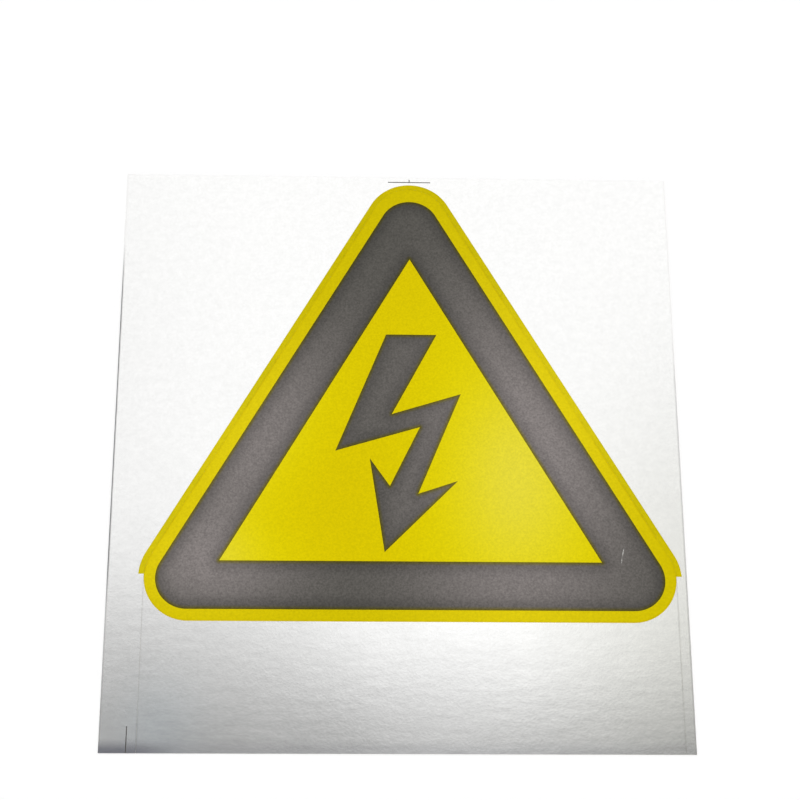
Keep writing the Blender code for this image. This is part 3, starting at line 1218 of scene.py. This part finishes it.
@dataclass
class Studio:
    """A plain pale floor under a soft sky: dim straight above and low down, brighter between."""

    floor_half: float = 4.0
    floor_drop: float = 0.05 * MM
    floor_tone: float = 0.88
    floor_lift: float = 0.2
    sky: float = 1.02
    overhead: float = 0.29
    overhead_centre: tuple[float, float] = (0.048, 0.036)
    overhead_reach: tuple[float, float] = (0.50, 0.261)
    overhead_edge: Span = (0.85, 0.90)
    low_ring: float = 0.40
    ring_foot: Span = (0.10, 0.25)
    ring_top: Span = (0.75, 0.50)
    lamp: SoftPatch = SoftPatch(0.078, 0.239, 0.142, 0.044, 0.0, 1.6)
    changes: tuple[SoftPatch, ...] = (
        SoftPatch(0.188, 0.275, 0.036, 0.038, 0.0, -0.40), SoftPatch(-0.147, 0.374, 0.030, 0.099, 0.0, -0.22),
        SoftPatch(-0.019, 0.170, 0.061, 0.043, 0.0, -0.50), SoftPatch(0.181, 0.160, 0.059, 0.037, 0.0, -0.47),
        SoftPatch(0.190, 0.330, 0.036, 0.050, 0.0, -0.15), SoftPatch(-0.100, -0.470, 0.400, 0.200, 0.0, 1.50),
        SoftPatch(-0.115, 0.188, 0.050, 0.020, 0.0, 0.12), SoftPatch(-0.115, 0.236, 0.040, 0.018, 0.0, -0.08),
    )

    def build(self) -> Piece:
        """Light the world and return the floor."""
        self.light_world()
        return self.lay_floor()

    def lay_floor(self) -> Piece:
        """Lay the floor just under the sheet.

        Returns:
            A flat matt square that looks white to the camera, and in mirrors and glass.
        """
        mesh = bpy.data.meshes.new("floor")
        corners = [(x * self.floor_half, y * self.floor_half, -self.floor_drop)
                   for x, y in ((-1, -1), (1, -1), (1, 1), (-1, 1))]
        mesh.from_pydata(corners, [], [(0, 1, 2, 3)])
        floor = bpy.data.objects.new("floor", mesh)
        bpy.context.scene.collection.objects.link(floor)
        material, graph, shader = new_material("floor_finish")
        rays = graph.add("ShaderNodeLightPath").outputs
        seen = graph.maths(Maths.MAXIMUM, rays["Is Camera Ray"],
                           graph.maths(Maths.MAXIMUM, rays["Is Glossy Ray"], rays["Is Transmission Ray"]))
        shader["Base Color"].default_value = (self.floor_tone,) * 3 + (1.0,)
        shader["Roughness"].default_value = 1.0
        shader["Specular IOR Level"].default_value = 0.0
        shader["Emission Color"].default_value = WHITE
        graph.feed(shader["Emission Strength"], graph.product(seen, self.floor_lift))
        dress(floor, material)
        return floor

    def light_world(self) -> None:
        """Light the scene by a pale sky with a dim patch straight above and a dim ring low down.

        With x and y the sky direction's parts less the patch's centre over its reach, m is the root of
        x squared plus y squared, and the strength runs from overhead to sky as m passes the patch's edge.
        The lamp's mask then takes it on towards the sky's strength and a little past it, and each change
        multiplies it by 1 plus the change's own mask. The ring lies between two heights in the sky, each
        with a soft edge, so that the silver film stays grey against the floor from the sides too.
        """
        world = bpy.context.scene.world or bpy.data.worlds.new("studio")
        bpy.context.scene.world = world
        world.use_nodes = True
        graph = Graph(world.node_tree)
        background = world.node_tree.nodes["Background"].inputs
        direction = graph.add("ShaderNodeTexCoord").outputs["Generated"]
        parts = graph.add("ShaderNodeSeparateXYZ", {0: direction}).outputs
        squares = []
        for axis, centre, reach in zip("XY", self.overhead_centre, self.overhead_reach):
            share = graph.maths(Maths.DIVIDE, graph.less(parts[axis], centre), reach)
            squares.append(graph.product(share, share))
        away = graph.maths(Maths.ROOT, graph.maths(Maths.ADD, *squares))
        plain = graph.ranged(away, self.overhead_edge, self.overhead, self.sky)
        strength = graph.maths(Maths.MULTIPLY_ADD, graph.patch(direction, self.lamp),
                               graph.less(self.sky, plain), plain)
        for change in self.changes:
            share = graph.maths(Maths.ADD, graph.patch(direction, change), 1.0)
            strength = graph.product(strength, share)
        above, below = (graph.ranged(parts["Z"], span) for span in (self.ring_foot, self.ring_top))
        left = graph.maths(Maths.MULTIPLY_ADD, graph.product(above, below), -self.low_ring, 1.0)
        graph.feed(background["Strength"], graph.product(strength, left))
        background["Color"].default_value = WHITE


@dataclass(frozen=True)
class PhotoCamera:
    """The photograph's view: its angles, its distance and the point that it looks at."""

    focal_px: float = 1900.8
    tilt: float = math.radians(20.693)
    azimuth: float = math.radians(5.488)
    roll: float = math.radians(5.655)
    look_at: Triple = (0.72 * MM, 17.21 * MM, 0.0)
    distance: float = 0.6197
    near_clip: float = 0.01

    def build(self) -> Piece:
        """Place the camera.

        Returns:
            The camera. Its back axis leans from straight up by the tilt towards the foot, turned by the
            azimuth, and its other two axes are turned round that by the roll.
        """
        lean = math.sin(self.tilt)
        back = Vector((-lean * math.sin(self.azimuth), -lean * math.cos(self.azimuth), math.cos(self.tilt)))
        level = Vector((math.cos(self.azimuth), -math.sin(self.azimuth), 0.0))
        right = math.cos(self.roll) * level + math.sin(self.roll) * back.cross(level)
        data = bpy.data.cameras.new("photo_camera")
        data.sensor_width = SENSOR_WIDTH_MM
        data.lens = SENSOR_WIDTH_MM * self.focal_px / IMAGE_WIDTH_PX
        data.clip_start = self.near_clip
        camera = bpy.data.objects.new("photo_camera", data)
        axes = Matrix((right, back.cross(right), back)).transposed().to_4x4()
        camera.matrix_world = Matrix.Translation(Vector(self.look_at) + self.distance * back) @ axes
        bpy.context.scene.collection.objects.link(camera)
        bpy.context.scene.camera = camera
        return camera


def main() -> None:
    logging.basicConfig(level=logging.INFO, format="%(name)s: %(message)s")
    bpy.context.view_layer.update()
    effects = Effects()
    for assembly in (BackingAndFilm(), Print()):
        for piece in assembly.build(effects):
            log.info("%s: %s, %d faces", type(assembly).__name__, piece.name, len(piece.data.polygons))
    floor = Studio().build()
    camera = PhotoCamera().build()
    log.info("stage: %s, %s", floor.name, camera.name)
    bpy.context.scene.view_settings.view_transform = "Standard"
    bpy.context.view_layer.update()


if __name__ == "__main__":
    main()
